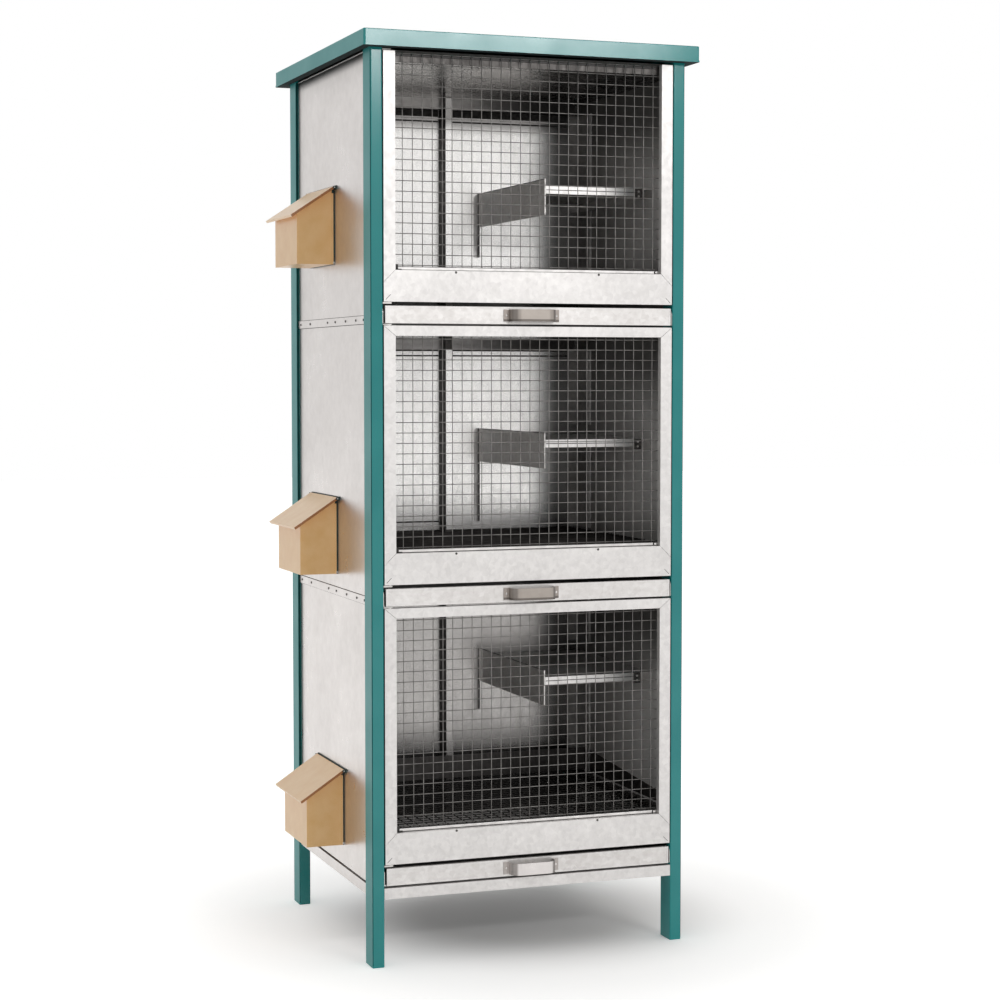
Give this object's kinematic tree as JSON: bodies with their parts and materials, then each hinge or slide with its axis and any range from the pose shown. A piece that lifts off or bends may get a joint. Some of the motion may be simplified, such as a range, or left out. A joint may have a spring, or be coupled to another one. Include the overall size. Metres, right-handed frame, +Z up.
{
  "type": "pigeon cage",
  "caption": "Tall tiered pigeon cage: tube posts, sheet roof cap, hinged mesh doors, sliding droppings trays with strap handles, nest shelves and lidded feeders on one side.",
  "frame": {"origin": "on the floor, under the middle of the cage's whole outline with its roof overhang and feeders", "axes": "+Z up, -Y out of the door side, +X to the right seen from the door side"},
  "size_m": [0.782, 0.684, 1.841],
  "materials": {
    "teal_paint": "semi-gloss teal powder coat on steel",
    "galvanised_sheet": "bright galvanised sheet, softly brushed",
    "mesh_wire": "galvanised welded wire",
    "steel_pin": "plain zinc-plated steel",
    "feeder_wood": "sealed tan board",
    "green_board": "dark green board",
    "black_plastic": "black moulded plastic"
  },
  "bodies": {
    "cage": {"back_channels": "galvanised_sheet", "back_mullion": "galvanised_sheet", "back_wall_left": "galvanised_sheet", "back_wall_right": "galvanised_sheet", "bottom_rail_front": "galvanised_sheet", "bottom_rail_rear": "galvanised_sheet", "bottom_rails_side": "galvanised_sheet", "ceiling_sheet": "galvanised_sheet", "door_catches": "black_plastic", "door_pivots": "steel_pin", "feeder_backings": "green_board", "feeder_box_bottom": "feeder_wood", "feeder_box_middle": "feeder_wood", "feeder_box_top": "feeder_wood", "feeder_hinge_rods": "steel_pin", "floor_bars": "galvanised_sheet", "floor_bearers": "galvanised_sheet", "floor_mesh_bottom": "mesh_wire", "floor_mesh_middle": "mesh_wire", "floor_mesh_top": "mesh_wire", "foot_plugs": "black_plastic", "joint_straps_left": "galvanised_sheet", "joint_straps_right": "galvanised_sheet", "nest_plate_bottom": "galvanised_sheet", "nest_plate_middle": "galvanised_sheet", "nest_plate_top": "galvanised_sheet", "nest_shelf_bottom": "galvanised_sheet", "nest_shelf_middle": "galvanised_sheet", "nest_shelf_top": "galvanised_sheet", "post_front_left": "teal_paint", "post_front_right": "teal_paint", "post_rear_left": "teal_paint", "post_rear_right": "teal_paint", "roof_cap": "teal_paint", "side_wall_left_bottom": "galvanised_sheet", "side_wall_left_middle": "galvanised_sheet", "side_wall_left_top": "galvanised_sheet", "side_wall_right_bottom": "galvanised_sheet", "side_wall_right_middle": "galvanised_sheet", "side_wall_right_top": "galvanised_sheet", "top_rails_cross": "teal_paint", "top_rails_side": "teal_paint", "tray_runners_bottom": "galvanised_sheet", "tray_runners_middle": "galvanised_sheet", "tray_runners_top": "galvanised_sheet"},
    "door_bottom": {"door_frame_bottom": "galvanised_sheet", "door_mesh_bottom": "mesh_wire"},
    "tray_bottom": {"tray_bottom": "galvanised_sheet", "tray_handle_bottom": "galvanised_sheet"},
    "feeder_lid_bottom": {"feeder_lid_bottom": "feeder_wood"},
    "door_middle": {"door_frame_middle": "galvanised_sheet", "door_mesh_middle": "mesh_wire"},
    "tray_middle": {"tray_middle": "galvanised_sheet", "tray_handle_middle": "galvanised_sheet"},
    "feeder_lid_middle": {"feeder_lid_middle": "feeder_wood"},
    "door_top": {"door_frame_top": "galvanised_sheet", "door_mesh_top": "mesh_wire"},
    "tray_top": {"tray_top": "galvanised_sheet", "tray_handle_top": "galvanised_sheet"},
    "feeder_lid_top": {"feeder_lid_top": "feeder_wood"}
  },
  "joints": [
    {"name": "door_bottom_hinge", "type": "hinge", "parent": "cage", "child": "door_bottom", "pos_m": [-0.26096, -0.309, 0.46], "axis": [0, 0, -1], "range_deg": [0, 110]},
    {"name": "tray_bottom_slide", "type": "slide", "parent": "cage", "child": "tray_bottom", "axis": [0, -1, 0], "range_m": [0, 0.42]},
    {"name": "feeder_lid_bottom_hinge", "type": "hinge", "parent": "cage", "child": "feeder_lid_bottom", "pos_m": [-0.29876, -0.003, 0.36], "axis": [0, 1, 0], "range_deg": [0, 105]},
    {"name": "door_middle_hinge", "type": "hinge", "parent": "cage", "child": "door_middle", "pos_m": [-0.26096, -0.309, 1.0165], "axis": [0, 0, -1], "range_deg": [0, 110]},
    {"name": "tray_middle_slide", "type": "slide", "parent": "cage", "child": "tray_middle", "axis": [0, -1, 0], "range_m": [0, 0.42]},
    {"name": "feeder_lid_middle_hinge", "type": "hinge", "parent": "cage", "child": "feeder_lid_middle", "pos_m": [-0.29876, 0.037, 0.92], "axis": [0, 1, 0], "range_deg": [0, 105]},
    {"name": "door_top_hinge", "type": "hinge", "parent": "cage", "child": "door_top", "pos_m": [-0.26096, -0.309, 1.56115], "axis": [0, 0, -1], "range_deg": [0, 110]},
    {"name": "tray_top_slide", "type": "slide", "parent": "cage", "child": "tray_top", "axis": [0, -1, 0], "range_m": [0, 0.42]},
    {"name": "feeder_lid_top_hinge", "type": "hinge", "parent": "cage", "child": "feeder_lid_top", "pos_m": [-0.29876, 0.051, 1.5595], "axis": [0, 1, 0], "range_deg": [0, 105]}
  ]
}
